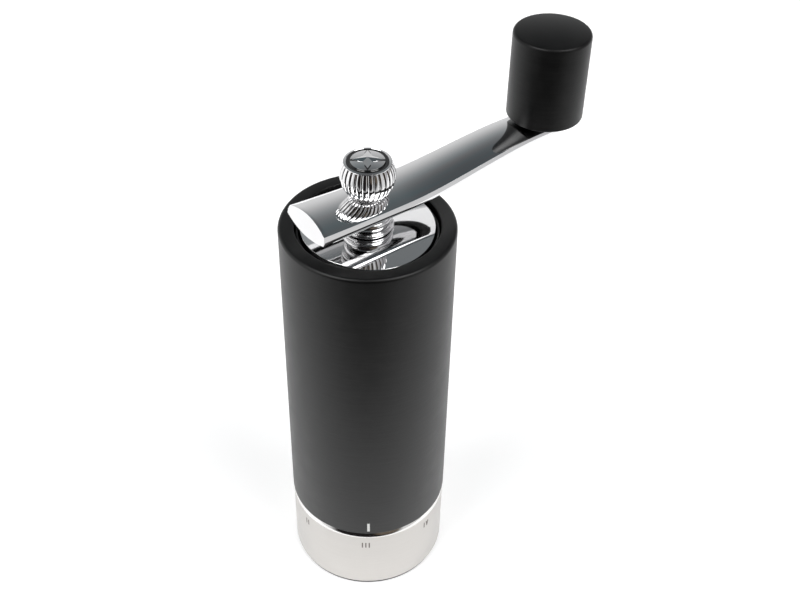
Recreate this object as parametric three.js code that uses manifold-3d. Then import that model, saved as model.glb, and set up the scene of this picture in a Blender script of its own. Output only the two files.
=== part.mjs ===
// Hand crank coffee grinder: a lacquered sleeve over a steel setting ring, a polished crank on top.
// Millimetres, +Z up. Origin: centre of the flat underside, on the grinding axis. Front: -Y.
import * as THREE from "three";
import { mergeVertices } from "three/addons/utils/BufferGeometryUtils.js";
import Module from "manifold-3d";

const wasm = await Module();
wasm.setup();

// ---- Driving dimensions ----
const bodyRadius = 26;
const bodyTop = 137; // rim of the sleeve
const sleeveWall = 4.7; // width of the rim
const ringInset = 0.2; // ring surface inside the sleeve's
const ringTop = 27.2;
const ringShoulder = 1.7; // height of the bevel round the ring's top
const ringShoulderInset = 0.9;
const linerWall = 0.9;
const spindleRadius = 3;
const threadRadius = 2.4;
const capCupDepth = 9;
const cupWall = 1.6;
const capFlange = 1;
const crankRadius = 64.3; // grinding axis to knob axis
const crankAngle = THREE.MathUtils.degToRad(33.6);
const armRootHalfWidth = 8.7; // at the grinding axis
const armTaper = 0.0342; // half width lost for each unit of length
const armTail = 20.2; // overhang behind the grinding axis
const armEdge = 2.3;
const armCrown = 1.8; // rise of the upper face at the grinding axis
const armBelly = 1.5;
const armRise = 4.8;
const armTailRise = 0.35;
const armTailSlant = THREE.MathUtils.degToRad(14); // the tail's end face looks up a little
const armLift = 6.4; // edge underside above the rim
const armOverhang = 8.4; // tip beyond the knob axis
const knobRadius = 11.6;
const knobHeight = 28.1;
const knobPinRadius = 2.5;
const ballRadius = 8;
const ballStand = 6.3; // ball centre above the nut's foot
const ballNeck = 4; // radius of the nut's foot
const insertWall = 0.8;
const nutLip = 6.8; // radius at which the ball is cut off flat
const medallionRadius = 5.4;
const fluteCount = 28;
const fluteDepth = 0.55;
const burrFlutes = 9;
const burrTeeth = 12;
const settings = 6;
const settingStep = (2 * Math.PI) / 7;
const gap = 0.3; // between pieces that touch
const runClear = 0.5; // between pieces that turn past each other

// ---- Heights and radii that follow ----
const ringRadius = bodyRadius - ringInset;
const boreRadius = bodyRadius - sleeveWall;
const sleeveBottom = ringTop + runClear;
const flangeHeight = 3;
const flangeRadius = ringRadius - 2.1;
const flangeBottom = sleeveBottom + gap;
const flangeTop = flangeBottom + flangeHeight;
const linerRadius = boreRadius - gap;
const hopperRadius = linerRadius - linerWall;
const linerTop = bodyTop - 2;
const spigotRadius = flangeRadius - 3;
const spigotBore = spigotRadius - 3.1;
const spigotBottom = ringTop - 7.4;
const ledgeBore = spigotBore - 1.7;
const ledgeBottom = flangeBottom - runClear;
const carrierRadius = spigotBore - gap;
const webBore = spigotRadius - 2.1;
const webTop = spigotBottom - 0.9;
const webBottom = capCupDepth + 2.3;
const burrSeat = carrierRadius - 3.2;
const burrBottom = webBottom + 1.4;
const bushRadius = spindleRadius + 1.7;
const bearingClear = 0.1;
const bridgeHeight = 3.5;
const bridgeRadius = hopperRadius - gap;
const lowerBridgeBottom = flangeTop + gap;
const upperBridgeBottom = bodyTop - 17;
const coverRadius = hopperRadius - runClear;
const coverTop = bodyTop - 0.6;
const coverCrease = 10.6;
const coverDrop = 1.1;
const squareSide = 2 * spindleRadius * Math.SQRT1_2;
const squareBottom = coverTop - 4;
const armBottomEdge = bodyTop + armLift;
const climbStart = 8;
const climbEnd = crankRadius - 6.3;
const armTip = crankRadius + armOverhang;
const crownTop = armLevel(0, armEdge + armCrown);
const squareTop = crownTop - 0.8;
const nutBottom = crownTop + gap;
const ballCentre = nutBottom + ballStand;
const threadTop = nutBottom + 5.2;
const lipBottom = ballCentre + Math.sqrt(ballRadius ** 2 - nutLip ** 2);
const medallionSeat = lipBottom + 0.3;
const washerHeight = 0.4;
const pinSeat = armLevel(crankRadius, -armBelly);
const washerSeat = armLevel(crankRadius, armEdge + armCrown) + gap;
const knobBottom = washerSeat + washerHeight + 0.1;
const knobTop = knobBottom + knobHeight;

// Rise of the arm at a distance along it: a slight lift at the tail, then an easy climb to the knob.
function armClimb(along) {
  const t = THREE.MathUtils.clamp((along - climbStart) / (climbEnd - climbStart), 0, 1);
  const tail = Math.min(along / armTail, 0);
  return armRise * t * t * (3 - 2 * t) + armTailRise * tail * tail;
}

function armHalfWidth(along) {
  return armRootHalfWidth - armTaper * along;
}

// Height of a point of the arm's section, which keeps its proportions as the arm narrows.
function armLevel(along, level) {
  const scale = armHalfWidth(along) / armRootHalfWidth;
  return armBottomEdge + armEdge / 2 + (level - armEdge / 2) * scale + armClimb(along);
}

// ---- Shape helpers ----
const round = 36;
const small = 16;

function place(geometry, x, y, z) {
  return geometry.translate(x, y, z);
}

function lathe(points, segments = round) {
  const profile = points.map(([r, z]) => new THREE.Vector2(r, z));
  return new THREE.LatheGeometry(profile, segments).rotateX(Math.PI / 2);
}

function tube(outer, inner, bottom, top, segments = round) {
  return lathe([[inner, bottom], [outer, bottom], [outer, top], [inner, top], [inner, bottom]], segments);
}

function disc(radius, bottom, top, segments = small) {
  return lathe([[0, bottom], [radius, bottom], [radius, top], [0, top]], segments);
}

function block(length, width, height, x, y, z) {
  return place(new THREE.BoxGeometry(length, width, height), x, y, z);
}

function ball(radius, x, y, z) {
  return place(new THREE.SphereGeometry(radius, 12, 8), x, y, z);
}

function around(angle, geometry) {
  return geometry.rotateZ(angle);
}

function solid(geometry) {
  const bare = new THREE.BufferGeometry();
  bare.setAttribute("position", geometry.getAttribute("position").clone());
  if (geometry.index) bare.setIndex(geometry.index.clone());
  const merged = mergeVertices(bare, 1e-4);
  return new wasm.Manifold(
    new wasm.Mesh({
      numProp: 3,
      vertProperties: new Float32Array(merged.attributes.position.array),
      triVerts: new Uint32Array(merged.index.array),
    }),
  );
}

function geometryOf(shape) {
  const mesh = shape.getMesh();
  const geometry = new THREE.BufferGeometry();
  geometry.setAttribute("position", new THREE.BufferAttribute(mesh.vertProperties, 3));
  geometry.setIndex(new THREE.BufferAttribute(mesh.triVerts, 1));
  const shaded = geometry.toNonIndexed();
  shaded.computeVertexNormals();
  return shaded;
}

function combine(base, added, cut) {
  let shape = solid(base);
  for (const piece of added) shape = shape.add(solid(piece));
  for (const piece of cut) shape = shape.subtract(solid(piece));
  return geometryOf(shape);
}

function upTo(count) {
  return Array.from({ length: count }, (value, i) => i);
}

function arc(radius, centreR, centreZ, from, to, steps) {
  const points = [];
  for (let i = 0; i <= steps; i++) {
    const angle = from + ((to - from) * i) / steps;
    points.push([centreR + radius * Math.cos(angle), centreZ + radius * Math.sin(angle)]);
  }
  return points;
}

// ---- Finishes ----
const finish = (color, roughness, metalness) => () =>
  new THREE.MeshStandardMaterial({ color, roughness, metalness });
const blackLacquer = finish(0x1b1b1d, 0.55, 0);
const satinSteel = finish(0xcfcac5, 0.3, 1);
const chrome = finish(0xe4e6ea, 0.06, 1);
const burrSteel = finish(0x77787b, 0.4, 1);
const zincFrame = finish(0x9a9c9f, 0.5, 1);
const bronze = finish(0xa8763d, 0.45, 1);
const blackPlastic = finish(0x151517, 0.5, 0);
const darkInlay = finish(0x2a2a2e, 0.25, 0.8);
const rubber = finish(0x101010, 0.8, 0);

const grinder = new THREE.Group();

function add(name, geometry, material, parent = grinder) {
  const mesh = new THREE.Mesh(geometry, material());
  mesh.name = name;
  parent.add(mesh);
  return mesh;
}

// ---- Housing: sleeve, liner and the frame screwed into its lower end ----
const screwCircle = (spigotRadius + flangeRadius) / 2;
const screwRadius = 0.8;
const screwHead = 1.3;
const screwDepth = 8; // of its hole above the flange
const keyWidth = 4;
const keyReach = 1.2;
const detentRadius = 0.9;
const detentHole = detentRadius + 0.25;
const detentZ = ringTop - 0.3;
const detentAngle = Math.PI / 2;
const snapBottom = spigotBottom + 2.2;
const snapThick = 1.1;
const snapInner = spigotRadius - 1;
const bridgeScrewCircle = (ledgeBore + bridgeRadius) / 2 - 0.6;
const thirds = upTo(3).map((i) => (i * 2 * Math.PI) / 3 + Math.PI / 6);

// Three upright holes on a circle.
function screwHoles(circle, bottom, top) {
  return thirds.map((angle) =>
    around(angle, place(disc(screwRadius + gap, bottom, top, 12), circle, 0, 0)),
  );
}

function bodySleeve() {
  const edge = 1.1;
  const seat = flangeRadius + gap;
  const shell = lathe([
    [boreRadius, flangeTop + gap],
    [seat, flangeTop + gap],
    [seat, sleeveBottom],
    [bodyRadius - 0.3, sleeveBottom],
    [bodyRadius, sleeveBottom + 0.3],
    ...arc(edge, bodyRadius - edge, bodyTop - edge, 0, Math.PI / 2, 4),
    ...arc(0.4, boreRadius + 0.4, bodyTop - 0.4, Math.PI / 2, Math.PI, 2),
    [boreRadius, flangeTop + gap],
  ]);
  return combine(shell, [], screwHoles(screwCircle, flangeTop - 1, flangeTop + screwDepth));
}

function mechanismHousing() {
  const grooveLow = snapBottom - gap;
  const grooveHigh = snapBottom + snapThick + gap;
  const grooveRadius = snapInner - gap;
  const shell = lathe([
    [ledgeBore, ledgeBottom],
    [spigotBore, ledgeBottom],
    [spigotBore, spigotBottom],
    [spigotRadius, spigotBottom],
    [spigotRadius, grooveLow],
    [grooveRadius, grooveLow],
    [grooveRadius, grooveHigh],
    [spigotRadius, grooveHigh],
    [spigotRadius, flangeBottom],
    [flangeRadius, flangeBottom],
    [flangeRadius, flangeTop],
    [ledgeBore, flangeTop],
    [ledgeBore, ledgeBottom],
  ]);
  const keyLength = ledgeBottom - spigotBottom;
  const keyways = [-1, 1].map((side) =>
    block(
      2 * keyReach + 2 * gap,
      keyWidth + 2 * gap,
      2 * keyLength,
      side * spigotBore,
      0,
      spigotBottom,
    ),
  );
  const holes = screwHoles(screwCircle, flangeBottom - 1, flangeTop + 1);
  const bridgeHoles = screwHoles(bridgeScrewCircle, ledgeBottom - 1, flangeTop + 1);
  const detent = around(
    detentAngle,
    place(disc(detentHole, flangeBottom - 1, flangeTop - 0.6, 12), screwCircle, 0, 0),
  );
  return combine(shell, [], [...keyways, ...holes, ...bridgeHoles, detent]);
}

function screw(headBottom, headTop, shankTo, circle, angle, head = screwHead) {
  const up = shankTo > headTop;
  const shank = up
    ? disc(screwRadius, headTop - 0.1, shankTo, 12)
    : disc(screwRadius, shankTo, headBottom + 0.1, 12);
  const slotZ = up ? headBottom : headTop;
  const slot = block(4 * head, 0.4, 0.8, 0, 0, slotZ);
  const piece = combine(disc(head, headBottom, headTop, 16), [shank], [slot]);
  return around(angle, place(piece, circle, 0, 0));
}

function bridge(bottom) {
  const rim = tube(bridgeRadius, bridgeRadius - 3.4, bottom, bottom + bridgeHeight);
  const hub = disc(bushRadius + 2, bottom, bottom + bridgeHeight);
  const bar = block(2 * bridgeRadius - 2, 5, bridgeHeight, 0, 0, bottom + bridgeHeight / 2);
  const bore = disc(bushRadius + gap, bottom - 1, bottom + bridgeHeight + 1);
  return { rim, added: [hub, bar], bore };
}

function lowerBridge() {
  const { rim, added, bore } = bridge(lowerBridgeBottom);
  const top = lowerBridgeBottom + bridgeHeight;
  return combine(rim, added, [bore, ...screwHoles(bridgeScrewCircle, lowerBridgeBottom - 1, top + 1)]);
}

function upperBridge() {
  const { rim, added, bore } = bridge(upperBridgeBottom);
  return combine(rim, added, [bore]);
}

function bush(bridgeBottom) {
  const top = bridgeBottom + bridgeHeight + gap;
  const inner = spindleRadius + bearingClear;
  return lathe(
    [
      [inner, bridgeBottom],
      [bushRadius, bridgeBottom],
      [bushRadius, top],
      [bushRadius + 1.2, top],
      [bushRadius + 1.2, top + 0.8],
      [inner, top + 0.8],
      [inner, bridgeBottom],
    ],
    small,
  );
}

class Helix extends THREE.Curve {
  constructor(radius, bottom, height, turns) {
    super();
    Object.assign(this, { radius, bottom, height, turns });
  }
  getPoint(t, target = new THREE.Vector3()) {
    const angle = 2 * Math.PI * this.turns * t;
    const z = this.bottom + this.height * t;
    return target.set(this.radius * Math.cos(angle), this.radius * Math.sin(angle), z);
  }
}

function coil(radius, wire, bottom, height, turns) {
  const section = new THREE.Shape();
  section.absarc(0, 0, wire, 0, 2 * Math.PI);
  return new THREE.ExtrudeGeometry(section, {
    steps: turns * 9,
    curveSegments: 3,
    bevelEnabled: false,
    extrudePath: new Helix(radius, bottom, height, turns),
  });
}

function splitRing(outer, inner, bottom, height, mouth) {
  const cut = block(outer, mouth, 3 * height, outer, 0, bottom);
  return combine(tube(outer, inner, bottom, bottom + height), [], [cut]);
}

add("body_sleeve", bodySleeve(), blackLacquer);
add("hopper_liner", tube(linerRadius, hopperRadius, flangeTop + gap, linerTop), blackPlastic);
add("mechanism_housing", mechanismHousing(), zincFrame);
const detentSpringBottom = detentZ + detentRadius + 0.4;
thirds.forEach((angle, i) => {
  const headTop = flangeBottom - gap;
  const piece = screw(headTop - 1, headTop, flangeTop + 6, screwCircle, angle);
  add(`housing_screw_${i + 1}`, piece, burrSteel);
});
thirds.forEach((angle, i) => {
  const headBottom = lowerBridgeBottom + bridgeHeight + gap;
  const piece = screw(headBottom, headBottom + 1, ledgeBottom + 0.4, bridgeScrewCircle, angle);
  add(`bridge_screw_${i + 1}`, piece, burrSteel);
});
add("lower_bridge", lowerBridge(), zincFrame);
add("lower_bush", bush(lowerBridgeBottom), bronze);
add("upper_bridge", upperBridge(), zincFrame);
add("upper_bush", bush(upperBridgeBottom), bronze);
add("ring_clip", splitRing(spigotRadius + 0.9, snapInner, snapBottom, snapThick, 5), burrSteel);
add(
  "detent_ball",
  around(detentAngle, ball(detentRadius, screwCircle, 0, detentZ)),
  burrSteel,
);
add(
  "detent_spring",
  around(
    detentAngle,
    place(coil(0.75, 0.18, detentSpringBottom, flangeTop - 1.2 - detentSpringBottom, 3), screwCircle, 0, 0),
  ),
  burrSteel,
);

// ---- Drive: spindle, inner burr and what holds it ----
const burrTop = lowerBridgeBottom - 1.6;
const burrNutTop = burrBottom - gap;
const burrNutHeight = 2.2;
const innerBurrRadius = burrSeat - 3.9;
const burrNeck = 5.4;
const circlipBottom = lowerBridgeBottom + bridgeHeight + gap + 0.8 + gap;
const circlipThick = 0.8;

function spindle() {
  const tip = burrNutTop - burrNutHeight - 0.6;
  const shaft = lathe(
    [
      [0, tip],
      [threadRadius - 0.3, tip],
      [threadRadius, tip + 0.3],
      [threadRadius, burrBottom],
      [spindleRadius, burrBottom],
      [spindleRadius, circlipBottom - gap],
      [spindleRadius - 0.5, circlipBottom - gap],
      [spindleRadius - 0.5, circlipBottom + circlipThick + gap],
      [spindleRadius, circlipBottom + circlipThick + gap],
      [spindleRadius, squareTop],
      [threadRadius, squareTop],
      [threadRadius, threadTop - 0.4],
      [threadRadius - 0.4, threadTop],
      [0, threadTop],
    ],
    small,
  );
  const height = squareTop - squareBottom;
  const flats = [0, 1, 2, 3].map((i) =>
    around(
      (i * Math.PI) / 2 + crankAngle,
      block(2, 4 * spindleRadius, height + 1, squareSide / 2 + 1, 0, squareBottom + (height + 1) / 2),
    ),
  );
  const drive = [0, Math.PI].map((angle) =>
    around(
      angle,
      block(1, 3 * spindleRadius, burrTop - burrBottom, spindleRadius, 0, (burrBottom + burrTop) / 2),
    ),
  );
  return combine(shaft, [], [...flats, ...drive]);
}

function groove(angle, lean, width, inner, outer, bottom, top) {
  const middle = (bottom + top) / 2;
  const cutter = new THREE.CylinderGeometry(width, width, 2.2 * (top - bottom), 4);
  cutter.rotateX(Math.PI / 2);
  cutter.rotateX(lean);
  cutter.rotateY(Math.atan2(inner - outer, top - bottom));
  return around(angle, place(cutter, (inner + outer) / 2, 0, middle));
}

function innerBurr() {
  const waist = burrBottom + 2.4;
  const cone = lathe(
    [
      [spindleRadius + gap, burrBottom],
      [innerBurrRadius, burrBottom],
      [innerBurrRadius, waist],
      [burrNeck, burrTop],
      [spindleRadius + gap, burrTop],
      [spindleRadius + gap, burrBottom],
    ],
    30,
  );
  const height = burrTop - burrBottom;
  const bore = solid(disc(spindleRadius + gap + 0.05, burrBottom, burrTop));
  let burr = solid(cone);
  for (const side of [-1, 1]) {
    const x = side * (spindleRadius + gap);
    const flat = block(1, 3 * spindleRadius, height, x, 0, burrBottom + height / 2);
    burr = burr.add(solid(flat).intersect(bore));
  }
  for (let i = 0; i < burrFlutes; i++) {
    const angle = (i * 2 * Math.PI) / burrFlutes;
    const flute = groove(angle, 0.35, 0.9, burrNeck, innerBurrRadius + 0.3, burrBottom, burrTop);
    burr = burr.subtract(solid(flute));
  }
  return geometryOf(burr);
}

function hexNut() {
  const nut = new THREE.CylinderGeometry(4, 4, burrNutHeight, 6);
  nut.rotateX(Math.PI / 2);
  const bore = disc(threadRadius + gap, burrNutTop - burrNutHeight - 1, burrNutTop + 1);
  return combine(place(nut, 0, 0, burrNutTop - burrNutHeight / 2), [], [bore]);
}

add("spindle", spindle(), satinSteel);
add("inner_burr", innerBurr(), burrSteel);
add("burr_nut", hexNut(), burrSteel);
add(
  "thrust_washer",
  tube(bushRadius + 0.8, spindleRadius + gap, burrTop + gap, lowerBridgeBottom - gap, small),
  bronze,
);
add(
  "spindle_clip",
  splitRing(spindleRadius + 1.8, spindleRadius - 0.2, circlipBottom, circlipThick, 2.4),
  burrSteel,
);

// ---- Setting ring, and the burr carrier that it raises and lowers ----
function grindRing() {
  const screwRoom = screwCircle + screwHead + runClear;
  const ledge = detentZ - detentRadius;
  const clipRoom = spigotRadius + 0.9 + gap;
  const shell = lathe([
    [webBore + gap, webBottom],
    [flangeRadius - 0.1, webBottom],
    [flangeRadius - 0.1, capFlange + gap],
    [ringRadius - 0.4, capFlange + gap],
    [ringRadius, capFlange + gap + 0.4],
    [ringRadius, ringTop - ringShoulder],
    [ringRadius - ringShoulderInset, ringTop],
    [screwRoom, ringTop],
    [screwRoom, ledge],
    [spigotRadius + gap, ledge],
    [spigotRadius + gap, snapBottom + snapThick + gap],
    [clipRoom, snapBottom + snapThick + gap],
    [clipRoom, snapBottom - gap],
    [spigotRadius + gap, snapBottom - gap],
    [spigotRadius + gap, webTop],
    [webBore + gap, webTop],
    [webBore + gap, webBottom],
  ]);
  const dimples = upTo(settings).map((i) =>
    around(
      detentAngle + (i - 2) * settingStep,
      ball(detentRadius + gap, screwCircle, 0, detentZ),
    ),
  );
  return combine(shell, [], dimples);
}

function burrCarrier() {
  const upperTop = ledgeBottom - 1.6;
  const lowerTop = webTop - 0.5;
  const lowerRadius = webBore;
  const shell = lathe([
    [burrSeat - 0.9, webBottom + 0.2],
    [lowerRadius, webBottom + 0.2],
    [lowerRadius, lowerTop],
    [carrierRadius, lowerTop],
    [carrierRadius, upperTop],
    [burrSeat + gap, upperTop],
    [burrSeat + gap, burrBottom - gap],
    [burrSeat - 0.9, burrBottom - gap],
    [burrSeat - 0.9, webBottom + 0.2],
  ]);
  const keyBottom = spigotBottom + 1.2;
  const keys = [-1, 1].map((side) =>
    block(
      keyReach + 0.6,
      keyWidth,
      upperTop - keyBottom,
      side * (carrierRadius + keyReach / 2 - 0.3),
      0,
      (upperTop + keyBottom) / 2,
    ),
  );
  return combine(shell, keys, []);
}

function outerBurr() {
  const top = ledgeBottom - 2.2;
  const wide = innerBurrRadius + 0.9;
  const ring = lathe(
    [
      [wide, burrBottom],
      [burrSeat, burrBottom],
      [burrSeat, top],
      [burrSeat - 1.6, top],
      [wide - 1.2, burrBottom + 7],
      [wide, burrBottom + 2.8],
      [wide, burrBottom],
    ],
    30,
  );
  const teeth = upTo(burrTeeth).map((i) =>
    groove((i * 2 * Math.PI) / burrTeeth, -0.35, 0.7, burrSeat - 1.6, wide - 0.3, burrBottom, top),
  );
  return combine(ring, [], teeth);
}

add("grind_ring", grindRing(), satinSteel);
add("burr_carrier", burrCarrier(), zincFrame);
add("outer_burr", outerBurr(), burrSteel);

// ---- Base cap: pulls off downwards and holds the ground coffee ----
const capWallRadius = flangeRadius - 0.1 - gap;
const sealSection = 0.5;
const sealZ = capCupDepth - 2;

function baseCap() {
  const cupRadius = capWallRadius - cupWall;
  const top = capFlange + capCupDepth;
  return lathe([
    [0, 0],
    [ringRadius - 0.8, 0],
    [ringRadius - 0.5, 0.3],
    [ringRadius - 0.5, capFlange],
    [capWallRadius, capFlange],
    [capWallRadius, sealZ - sealSection - gap],
    [capWallRadius - 2 * sealSection, sealZ - sealSection - gap],
    [capWallRadius - 2 * sealSection, sealZ + sealSection + gap],
    [capWallRadius, sealZ + sealSection + gap],
    [capWallRadius, top],
    [cupRadius, top],
    [cupRadius, 1.8],
    [0, 1.8],
  ]);
}

function capSeal() {
  const middle = capWallRadius - sealSection + 0.1;
  return lathe(arc(sealSection, middle, sealZ, 0, 2 * Math.PI, 6), round);
}

add("base_cap", baseCap(), blackPlastic);
add("cap_seal", capSeal(), rubber);

// ---- Crank head: cover, collar, arm and knob pin, lifted off the spindle's square ----
const crank = new THREE.Group();
crank.rotation.z = crankAngle;
grinder.add(crank);

function squareHole(bottom, top) {
  const side = squareSide + 2 * gap;
  return block(side, side, top - bottom + 2, 0, 0, (bottom + top) / 2);
}

function cover() {
  const skirt = 5;
  const wall = 1.2;
  const thick = 1.6;
  const shell = lathe([
    [0, coverTop - coverDrop - thick],
    [coverRadius - wall, coverTop - coverDrop - thick],
    [coverRadius - wall, coverTop - coverDrop - skirt],
    [coverRadius, coverTop - coverDrop - skirt],
    [coverRadius, coverTop],
    [0, coverTop],
  ]);
  const slope = coverDrop / (coverRadius - coverCrease);
  const facets = [-1, 1].map((side) => {
    const cutter = new THREE.BoxGeometry(3 * coverRadius, 2 * coverRadius, 4);
    cutter.translate(0, coverRadius, 2);
    cutter.rotateX(-Math.atan(slope));
    cutter.translate(0, coverCrease, coverTop);
    return side > 0 ? cutter : cutter.rotateZ(Math.PI);
  });
  const hole = squareHole(coverTop - coverDrop - thick, coverTop);
  return combine(shell, [], [...facets, hole]);
}

const collarRadius = 7.6;

function collar() {
  const bottom = coverTop + gap;
  const top = armBottomEdge - armBelly - gap;
  const foot = 0.6; // half height of the lower bead
  const waist = bottom + 2 * foot + 0.15;
  const bead = (top - waist - 0.15) / 2;
  const body = lathe(
    [
      [0, bottom],
      ...arc(foot, collarRadius - foot, bottom + foot, -Math.PI / 2, Math.PI / 2, 3),
      [collarRadius - bead - 0.5, waist],
      ...arc(bead, collarRadius - 0.3 - bead, top - bead, -Math.PI / 2, Math.PI / 2, 5),
      [0, top],
    ],
    small,
  );
  return combine(body, [], [squareHole(bottom, top)]);
}

function lensSection() {
  const steps = 8;
  const shape = new THREE.Shape();
  const upper = upTo(steps + 1).map((i) => 1 - (2 * i) / steps);
  upper.forEach((t, i) => {
    const y = armEdge + armCrown * (1 - t * t);
    if (i) shape.lineTo(t, y);
    else shape.moveTo(t, y);
  });
  [...upper].reverse().forEach((t) => shape.lineTo(t, -armBelly * (1 - t * t)));
  return shape;
}

function crankArm() {
  const tailRoom = 3; // bar beyond the tail, for its slanted end
  const length = armTail + tailRoom + armTip;
  const bar = new THREE.ExtrudeGeometry(lensSection(), { depth: length, steps: 24, bevelEnabled: false });
  bar.rotateX(Math.PI / 2).rotateZ(Math.PI / 2);
  const position = bar.getAttribute("position");
  for (let i = 0; i < position.count; i++) {
    const along = position.getX(i) - armTail - tailRoom;
    const across = position.getY(i) * armHalfWidth(along);
    position.setXYZ(i, along, across, armLevel(along, position.getZ(i)));
  }
  const tipHalf = armHalfWidth(crankRadius);
  const plan = new THREE.Shape();
  plan.moveTo(-armTail - tailRoom - 1, -2 * tipHalf);
  plan.lineTo(armTip - tipHalf, -2 * tipHalf);
  plan.lineTo(armTip - tipHalf, -tipHalf);
  plan.absarc(armTip - tipHalf, 0, tipHalf, -Math.PI / 2, Math.PI / 2, false);
  plan.lineTo(armTip - tipHalf, 2 * tipHalf);
  plan.lineTo(-armTail - tailRoom - 1, 2 * tipHalf);
  const outline = new THREE.ExtrudeGeometry(plan, { depth: 60, curveSegments: 16, bevelEnabled: false });
  outline.translate(0, 0, armBottomEdge - 20);
  const hole = squareHole(armBottomEdge - armBelly, crownTop);
  const pinHole = place(
    disc(knobPinRadius + gap, armBottomEdge - 5, knobBottom + 5),
    crankRadius,
    0,
    0,
  );
  const tailCut = place(new THREE.BoxGeometry(20, 60, 40), -10, 0, 0);
  tailCut.rotateY(armTailSlant);
  tailCut.translate(-armTail, 0, armLevel(-armTail, armEdge));
  const shape = solid(bar)
    .intersect(solid(outline))
    .subtract(solid(tailCut))
    .subtract(solid(hole))
    .subtract(solid(pinHole));
  return geometryOf(shape);
}

const knobCavity = knobTop - 4;
const sleeveHeight = 14;

function knobPin() {
  const headTop = pinSeat - gap;
  const headBottom = headTop - 0.9;
  return place(
    lathe(
      [
        [0, headBottom],
        [3.6, headBottom],
        [4, headBottom + 0.4],
        [4, headTop],
        [knobPinRadius, headTop],
        [knobPinRadius, knobBottom + sleeveHeight + 3.6],
        [0, knobBottom + sleeveHeight + 3.6],
      ],
      small,
    ),
    crankRadius,
    0,
    0,
  );
}

function knobWasher() {
  const top = washerSeat + washerHeight;
  return place(tube(5, knobPinRadius + gap, washerSeat, top, small), crankRadius, 0, 0);
}

add("cover", cover(), chrome, crank);
add("collar", collar(), chrome, crank);
add("crank_arm", crankArm(), chrome, crank);
add("knob_pin", knobPin(), satinSteel, crank);
add("knob_washer", knobWasher(), blackPlastic, crank);

// ---- Knob: turns freely on its pin ----
const sleeveRadius = knobPinRadius + 1.9;
const knobBore = sleeveRadius + gap;

function knob() {
  const edge = 1.2;
  const foot = 0.4; // roundings of the top and the bottom edge
  const dome = 0.9;
  return place(
    lathe([
      [0, knobCavity],
      [knobBore, knobCavity],
      [knobBore, knobBottom],
      ...arc(foot, knobRadius - foot, knobBottom + foot, -Math.PI / 2, 0, 3),
      ...arc(edge, knobRadius - edge, knobTop - dome - edge, 0, 0.4 * Math.PI, 4),
      [0.45 * knobRadius, knobTop - 0.2 * dome],
      [0, knobTop],
    ]),
    crankRadius,
    0,
    0,
  );
}

const sleeveBottomZ = knobBottom + 1;
const sleeveTop = sleeveBottomZ + sleeveHeight;

add("knob", knob(), blackLacquer, crank);
add(
  "knob_sleeve",
  place(
    tube(sleeveRadius, knobPinRadius + bearingClear, sleeveBottomZ, sleeveTop, small),
    crankRadius,
    0,
    0,
  ),
  bronze,
  crank,
);
add(
  "knob_clip",
  place(
    splitRing(sleeveRadius - 0.4, knobPinRadius + bearingClear, sleeveTop + gap, 0.7, 2),
    crankRadius,
    0,
    0,
  ),
  burrSteel,
  crank,
);

// ---- Ball nut: screws down on the spindle and clamps the arm ----
const insertRadius = threadRadius + insertWall;

function ballNut() {
  const low = -0.72;
  const high = Math.acos(nutLip / ballRadius);
  const seat = medallionRadius + gap;
  const bore = insertRadius + gap;
  const boreTop = threadTop + 1.2;
  const geometry = lathe(
    [
      [0, boreTop],
      [bore, boreTop],
      [bore, nutBottom],
      [ballNeck, nutBottom],
      [ballNeck + 1.4, nutBottom + 0.45],
      ...arc(ballRadius, 0, ballCentre, low, high, 8),
      [nutLip - 0.4, medallionSeat],
      [seat, medallionSeat],
      [seat, medallionSeat - 1],
      [0, medallionSeat - 1],
    ],
    2 * fluteCount,
  );
  const position = geometry.getAttribute("position");
  const bottom = ballCentre + ballRadius * Math.sin(low);
  for (let i = 0; i < position.count; i++) {
    const [x, y, z] = [position.getX(i), position.getY(i), position.getZ(i)];
    const radius = Math.hypot(x, y);
    const onBall = Math.abs(Math.hypot(radius, z - ballCentre) - ballRadius) < 0.01;
    if (!onBall) continue;
    const along = (z - bottom) / (lipBottom - bottom);
    const wave = 0.5 - 0.5 * Math.cos(fluteCount * Math.atan2(y, x));
    const scale = 1 - (fluteDepth * wave * Math.sin(Math.PI * along)) / radius;
    position.setXY(i, x * scale, y * scale);
  }
  return geometry;
}

function medallion() {
  const bottom = medallionSeat - 1 + gap;
  return lathe(
    [
      [0, bottom],
      [medallionRadius, bottom],
      [medallionRadius, medallionSeat],
      [medallionRadius - 0.5, medallionSeat + 0.3],
      [0.5 * medallionRadius, medallionSeat + 0.6],
      [0, medallionSeat + 0.7],
    ],
    small,
  );
}

add(
  "nut_insert",
  tube(insertRadius, threadRadius + gap, nutBottom + 0.2, threadTop + 0.9, small),
  bronze,
  crank,
);
add("ball_nut", ballNut(), chrome, crank);
add("nut_medallion", medallion(), darkInlay, crank);

export default grinder;
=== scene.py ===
import math

import bpy
from mathutils import Matrix, Vector


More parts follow.
